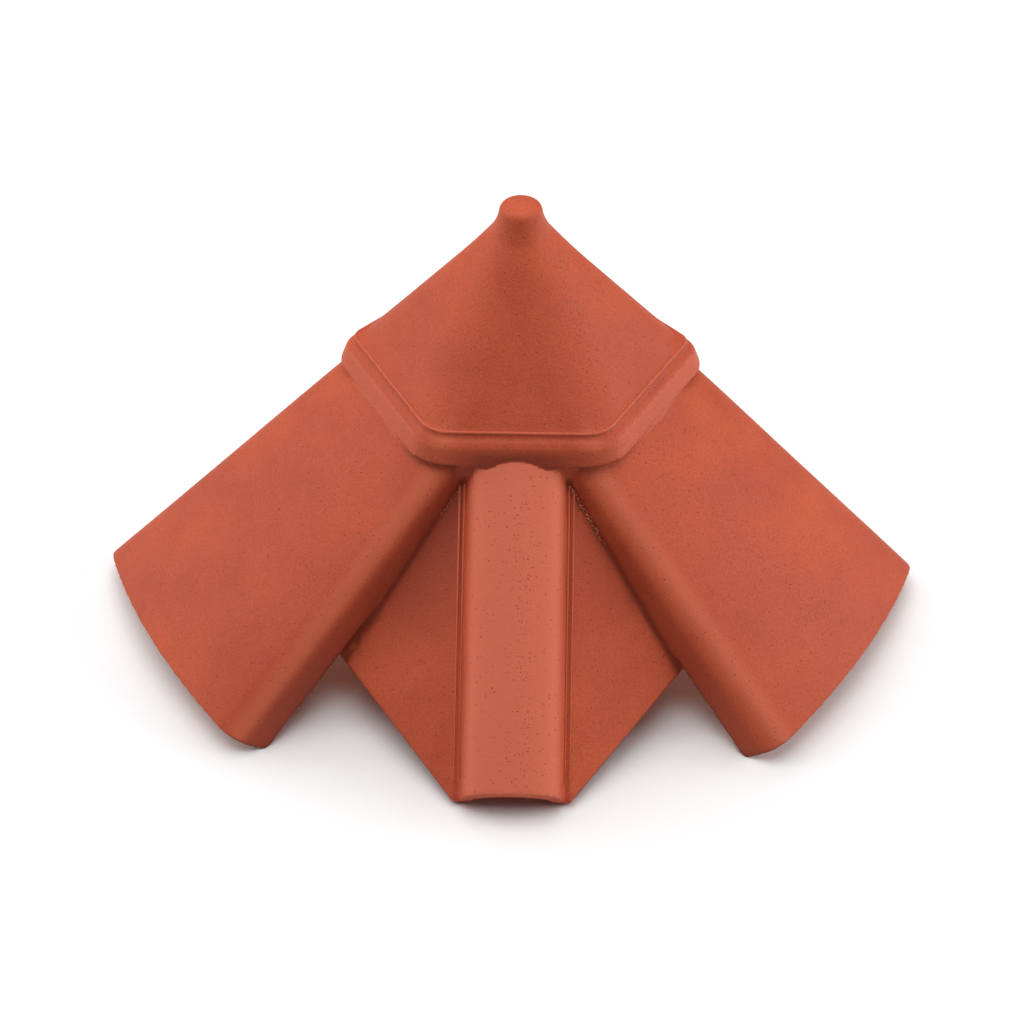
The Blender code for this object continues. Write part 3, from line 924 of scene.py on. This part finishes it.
def markSurfaces(tile, hollows):
    # one attribute each for the bare clay, the painted sheen and the painted shade, and one for the pitted
    # bands
    mesh = tile.data
    count = len(mesh.vertices)
    place = vertexVectors(mesh.vertices, "co", count)
    facing = vertexVectors(mesh.vertex_normals, "vector", count)
    bare = np.zeros(count)
    for i in np.flatnonzero(facing[:, 2] < skin["innerTurn"]):
        near = min(tree.find_nearest(Vector(place[i]))[3] for tree in hollows)
        bare[i] = near < skin["innerReach"]
    x, y = place[:, 0], place[:, 1] - axisY
    centre, width = skin["rollBand"]
    pitted = np.clip(1 - np.abs(x - centre) / width, 0, 1) * (y < skin["rollBandStart"])
    for band in ("capBand", "armBand"):
        pitted = np.maximum(pitted, bandMask(x, y, *skin[band]))
    pitted = pitted * (facing[:, 2] > skin["bandTurn"])
    paintedSheen, paintedShade = paintedLightMasks(place, facing)
    for name, values in (("bare", bare), ("pitted", pitted), ("paintedSheen", paintedSheen), ("paintedShade", paintedShade)):
        attribute = mesh.attributes.new(name, "FLOAT", "POINT")
        attribute.data.foreach_set("value", values.astype(np.float32))


def polyline(name, points, closed=False):
    mesh = bpy.data.meshes.new(name)
    edges = [(i, i + 1) for i in range(len(points) - 1)]
    if closed:
        edges.append((len(points) - 1, 0))
    mesh.from_pydata([tuple(p) for p in points], edges, [])
    obj = bpy.data.objects.new(name, mesh)
    bpy.context.scene.collection.objects.link(obj)
    return obj


# thin drawn beads beside the roll and along the pyramid's foot
beads = {
    "rollPlaces": (0.0383, 0.0418),     # distance from the roll's middle line
    "rollRadius": (0.0004, 0.0010),     # at the foot and at the top
    "rollSpan": (0.016, 0.236),         # distance up the flap
    "rollSink": 0.0002,
    "capRadius": 0.0011,
    "capInset": 0.0124,
    "capDrop": 0.0009,
    "wobble": 0.00035,
    "wobbleSize": 30.0,
    "spacing": 0.0025,
    "sides": 10,
    "pathSteps": 40,
    # painted highlight on the beads
    "paintedSheen": 0.45,
}


def beadTree():
    tree, inlet, outlet = geometryTree("drawnBead", [
        ("Spacing", "NodeSocketFloat"), ("Start Radius", "NodeSocketFloat"),
        ("End Radius", "NodeSocketFloat"), ("Wobble", "NodeSocketFloat"),
        ("Wobble Size", "NodeSocketFloat"), ("Clay", "NodeSocketMaterial")])
    nodes, links = tree.nodes, tree.links
    path = nodes.new("GeometryNodeMeshToCurve")
    links.new(inlet.outputs["Geometry"], path.inputs["Mesh"])
    even = nodes.new("GeometryNodeResampleCurve")
    even.mode = "LENGTH"
    links.new(path.outputs["Curve"], even.inputs["Curve"])
    links.new(inlet.outputs["Spacing"], even.inputs["Length"])
    position = nodes.new("GeometryNodeInputPosition")
    noise = nodes.new("ShaderNodeTexNoise")
    links.new(position.outputs["Position"], noise.inputs["Vector"])
    links.new(inlet.outputs["Wobble Size"], noise.inputs["Scale"])
    centred = operate(tree, "ShaderNodeVectorMath", "SUBTRACT", noise.outputs["Color"], (0.5, 0.5, 0.5))
    push = scaleVector(tree, centred, inlet.outputs["Wobble"])
    moved = moveBy(tree, even.outputs["Curve"], push)
    place = nodes.new("GeometryNodeSplineParameter")
    radius = nodes.new("ShaderNodeMapRange")
    links.new(place.outputs["Factor"], radius.inputs["Value"])
    links.new(inlet.outputs["Start Radius"], radius.inputs["To Min"])
    links.new(inlet.outputs["End Radius"], radius.inputs["To Max"])
    girth = nodes.new("GeometryNodeSetCurveRadius")
    links.new(moved, girth.inputs["Curve"])
    links.new(radius.outputs["Result"], girth.inputs["Radius"])
    profile = nodes.new("GeometryNodeCurvePrimitiveCircle")
    profile.inputs["Resolution"].default_value = beads["sides"]
    profile.inputs["Radius"].default_value = 1.0
    sweep = nodes.new("GeometryNodeCurveToMesh")
    links.new(girth.outputs["Curve"], sweep.inputs["Curve"])
    links.new(profile.outputs["Curve"], sweep.inputs["Profile Curve"])
    sweep.inputs["Fill Caps"].default_value = True
    if "Scale" in sweep.inputs:
        links.new(radius.outputs["Result"], sweep.inputs["Scale"])
    coatAndClose(tree, sweep.outputs["Mesh"], inlet, outlet)
    return tree


def sweepBead(tree, name, points, closed, radii, clay):
    bead = polyline(name, points, closed)
    modifier = bead.modifiers.new("Bead", "NODES")
    modifier.node_group = tree
    setInputs(modifier, {"Spacing": beads["spacing"], "Start Radius": radii[0], "End Radius": radii[1],
                         "Wobble": beads["wobble"], "Wobble Size": beads["wobbleSize"], "Clay": clay})
    bakeModifiers(bead)
    bead.data.shade_smooth()
    # painted highlight over the whole bead
    beadHighlight = np.full(len(bead.data.vertices), beads["paintedSheen"], dtype=np.float32)
    bead.data.attributes.new("paintedSheen", "FLOAT", "POINT").data.foreach_set("value", beadHighlight)
    return bead


def buildBeads(clay):
    tree = beadTree()
    foot, up, normal = flapFrame()
    made = []
    low, high = beads["rollSpan"]
    steps = beads["pathSteps"]
    for side, hand in ((-1, "left"), (1, "right")):
        for i, place in enumerate(beads["rollPlaces"], 1):
            base = foot + Vector((side * place, 0, 0)) + normal * (body["wall"] - beads["rollSink"])
            points = [base + up * (low + (high - low) * k / steps) for k in range(steps + 1)]
            name = f"roll_bead_{hand}_{i}"
            made.append(sweepBead(tree, name, points, False, beads["rollRadius"], clay))
    ring = lift(insetRing(beads["capInset"]), pyramidFoot() - beads["capDrop"])
    made.append(sweepBead(tree, "cap_bead", ring, True, (beads["capRadius"],) * 2, clay))
    print("beads:", len(made), "with", sum(len(b.data.polygons) for b in made), "faces")
    return made


# grit squeezed out of the bonded seam between a wing and an arm: start and end along the arm, and crumbs
seam = {
    "right": (0.086, 0.126, 420),
    "left": (0.090, 0.108, 60),
    "spread": 0.0014,
    "size": (0.00020, 0.00055),
    "seed": 5,
    "pathSteps": 20,
    "search": (-0.05, 0.03, 40),        # heights tried on the skirt, and halvings
    "scatter": (1.0, 1.0, 0.6),
    "squash": (0.6, 1.3),
    "turn": 6.28,
    "subdivisions": 2,
}


def seamPoint(side, reach):
    # where the outside of the arm's skirt meets the top of the wing
    across, normal = armFrame(side)[1], armFrame(side)[3]
    foot, _, flapNormal = flapFrame()
    half = armSizes(reach)[0]
    low, high, halvings = seam["search"]
    for _ in range(halvings):
        h = (low + high) / 2
        point = armBase(side, reach) + across * (half - h * math.tan(arm["lean"])) + normal * h
        if (point - foot).dot(flapNormal) < wingTop(point.x):
            low = h
        else:
            high = h
    return point


def crumbTree():
    tree, inlet, outlet = geometryTree("seamGrit", [
        ("Count", "NodeSocketInt"), ("Spread", "NodeSocketFloat"), ("Small", "NodeSocketFloat"),
        ("Large", "NodeSocketFloat"), ("Seed", "NodeSocketInt"), ("Clay", "NodeSocketMaterial")])
    nodes, links = tree.nodes, tree.links
    path = nodes.new("GeometryNodeMeshToCurve")
    links.new(inlet.outputs["Geometry"], path.inputs["Mesh"])
    dots = nodes.new("GeometryNodeCurveToPoints")
    links.new(path.outputs["Curve"], dots.inputs["Curve"])
    links.new(inlet.outputs["Count"], dots.inputs["Count"])

    def randomVector(low, high, seedStep):
        node = nodes.new("FunctionNodeRandomValue")
        node.data_type = "FLOAT_VECTOR"
        node.inputs[0].default_value = low
        node.inputs[1].default_value = high
        seed = operate(tree, "ShaderNodeMath", "ADD", inlet.outputs["Seed"], seedStep)
        links.new(seed, node.inputs["Seed"])
        return node.outputs[0]

    reach = seam["scatter"]
    scatter = scaleVector(tree, randomVector([-v for v in reach], reach, 0), inlet.outputs["Spread"])
    moved = moveBy(tree, dots.outputs["Points"], scatter)
    grain = nodes.new("GeometryNodeMeshIcoSphere")
    grain.inputs["Radius"].default_value = 1.0
    grain.inputs["Subdivisions"].default_value = seam["subdivisions"]
    size = nodes.new("FunctionNodeRandomValue")
    size.data_type = "FLOAT"
    links.new(inlet.outputs["Small"], size.inputs[2])
    links.new(inlet.outputs["Large"], size.inputs[3])
    links.new(inlet.outputs["Seed"], size.inputs["Seed"])
    crumbs = nodes.new("GeometryNodeInstanceOnPoints")
    links.new(moved, crumbs.inputs["Points"])
    links.new(grain.outputs["Mesh"], crumbs.inputs["Instance"])
    links.new(size.outputs[1], crumbs.inputs["Scale"])
    links.new(randomVector((0, 0, 0), (seam["turn"],) * 3, 7), crumbs.inputs["Rotation"])
    flat = nodes.new("GeometryNodeScaleInstances")
    links.new(crumbs.outputs["Instances"], flat.inputs["Instances"])
    least, most = seam["squash"]
    links.new(randomVector((least,) * 3, (most,) * 3, 13), flat.inputs["Scale"])
    coatAndClose(tree, flat.outputs["Instances"], inlet, outlet)
    return tree


def buildSeams(clay):
    tree = crumbTree()
    made = []
    for side, name in ((-1, "left"), (1, "right")):
        start, end, count = seam[name]
        steps = seam["pathSteps"]
        points = [seamPoint(side, start + (end - start) * k / steps) for k in range(steps + 1)]
        crumbs = polyline(f"seam_grit_{name}", points)
        modifier = crumbs.modifiers.new("Grit", "NODES")
        modifier.node_group = tree
        setInputs(modifier, {"Count": count, "Spread": seam["spread"], "Small": seam["size"][0],
                             "Large": seam["size"][1], "Seed": seam["seed"] + side, "Clay": clay})
        bakeModifiers(crumbs)
        made.append(crumbs)
    print("seam grit:", sum(len(c.data.polygons) for c in made), "faces")
    return made


def dress():
    grainGroup = firedGrainGroup()
    clay = clayMaterial("engobedClay", grainGroup, engobe)
    grit = clayMaterial("seamGritClay", grainGroup, gritClay)
    tile = buildBody(clay)
    tile.name = "tile_body"
    for piece in [tile] + buildBeads(clay) + buildSeams(grit):
        piece.data.name = piece.name
        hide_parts("apex_tile")
        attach(piece, "root")
    print("body:", len(tile.data.polygons), "faces")


# studio: white ground, soft light from both sides and above, camera where the photo's stood

studio = {
    "elevation": math.radians(43),
    "azimuth": math.radians(1.35),
    "distance": 2.088,
    "focalPixels": 2610,
    "framePixels": 1024,
    "sensor": 36.0,
    "target": (-0.0064, axisY, 0.0186),
    "ground": 0.93,
    "groundRoughness": 0.9,
    "groundSpecular": 0.2,
    "groundHalf": 6.0,
    "world": 0.03,
    "aim": (0.0, 0.05, 0.10),
    # name: place, width and height, watts
    "lights": {
        "overhead": ((0.0, 0.2, 2.6), (2.4, 1.8), 33),
        "overheadBack": ((0.0, 1.8, 1.9), (2.4, 1.2), 18),
        "overheadFront": ((0.0, -0.9, 2.5), (1.6, 0.9), 13),
        "leftBox": ((-2.3, 0.1, 0.9), (1.8, 1.4), 17),
        "rightBox": ((2.3, 0.1, 0.9), (1.8, 1.4), 35),
        "leftHigh": ((-1.6, 0.2, 2.0), (1.2, 1.2), 8),
        "leftBack": ((-1.9, 1.3, 1.2), (1.4, 1.2), 9),
    },
}


def groundMaterial():
    material = bpy.data.materials.new("whiteGround")
    material.use_nodes = True
    shader = material.node_tree.nodes["Principled BSDF"]
    shader.inputs["Base Color"].default_value = (*(studio["ground"],) * 3, 1.0)
    shader.inputs["Roughness"].default_value = studio["groundRoughness"]
    shader.inputs["Specular IOR Level"].default_value = studio["groundSpecular"]
    return material


def areaLight(name, place, size, power):
    light = bpy.data.lights.new(name, "AREA")
    light.shape = "RECTANGLE"
    light.size, light.size_y = size
    light.energy = power
    obj = bpy.data.objects.new(name, light)
    obj.location = place
    obj.rotation_euler = (Vector(studio["aim"]) - Vector(place)).to_track_quat("-Z", "Y").to_euler()
    bpy.context.scene.collection.objects.link(obj)


def setStage():
    scene = bpy.context.scene
    mesh = bpy.data.meshes.new("ground")
    half = studio["groundHalf"]
    corners = [(-half, -half, 0), (half, -half, 0), (half, half, 0), (-half, half, 0)]
    mesh.from_pydata(corners, [], [(0, 1, 2, 3)])
    mesh.materials.append(groundMaterial())
    ground = bpy.data.objects.new("ground", mesh)
    scene.collection.objects.link(ground)
    world = bpy.data.worlds.new("softRoom")
    world.use_nodes = True
    sky = world.node_tree.nodes["Background"]
    sky.inputs["Color"].default_value = (1, 1, 1, 1)
    sky.inputs["Strength"].default_value = studio["world"]
    scene.world = world
    for name, (place, size, power) in studio["lights"].items():
        areaLight(name, place, size, power)
    scene.view_settings.view_transform = "Standard"
    camera = bpy.data.objects.new("camera", bpy.data.cameras.new("camera"))
    camera.data.sensor_width = studio["sensor"]
    camera.data.lens = studio["focalPixels"] / studio["framePixels"] * camera.data.sensor_width
    level = math.cos(studio["elevation"])
    away = Vector((math.sin(studio["azimuth"]) * level, -math.cos(studio["azimuth"]) * level,
                   math.sin(studio["elevation"])))
    camera.location = Vector(studio["target"]) + away * studio["distance"]
    camera.rotation_euler = (-away).to_track_quat("-Z", "Y").to_euler()
    scene.collection.objects.link(camera)
    scene.camera = camera
    print("stage: ground,", len(studio["lights"]), "lights and camera")


setStage()
dress()
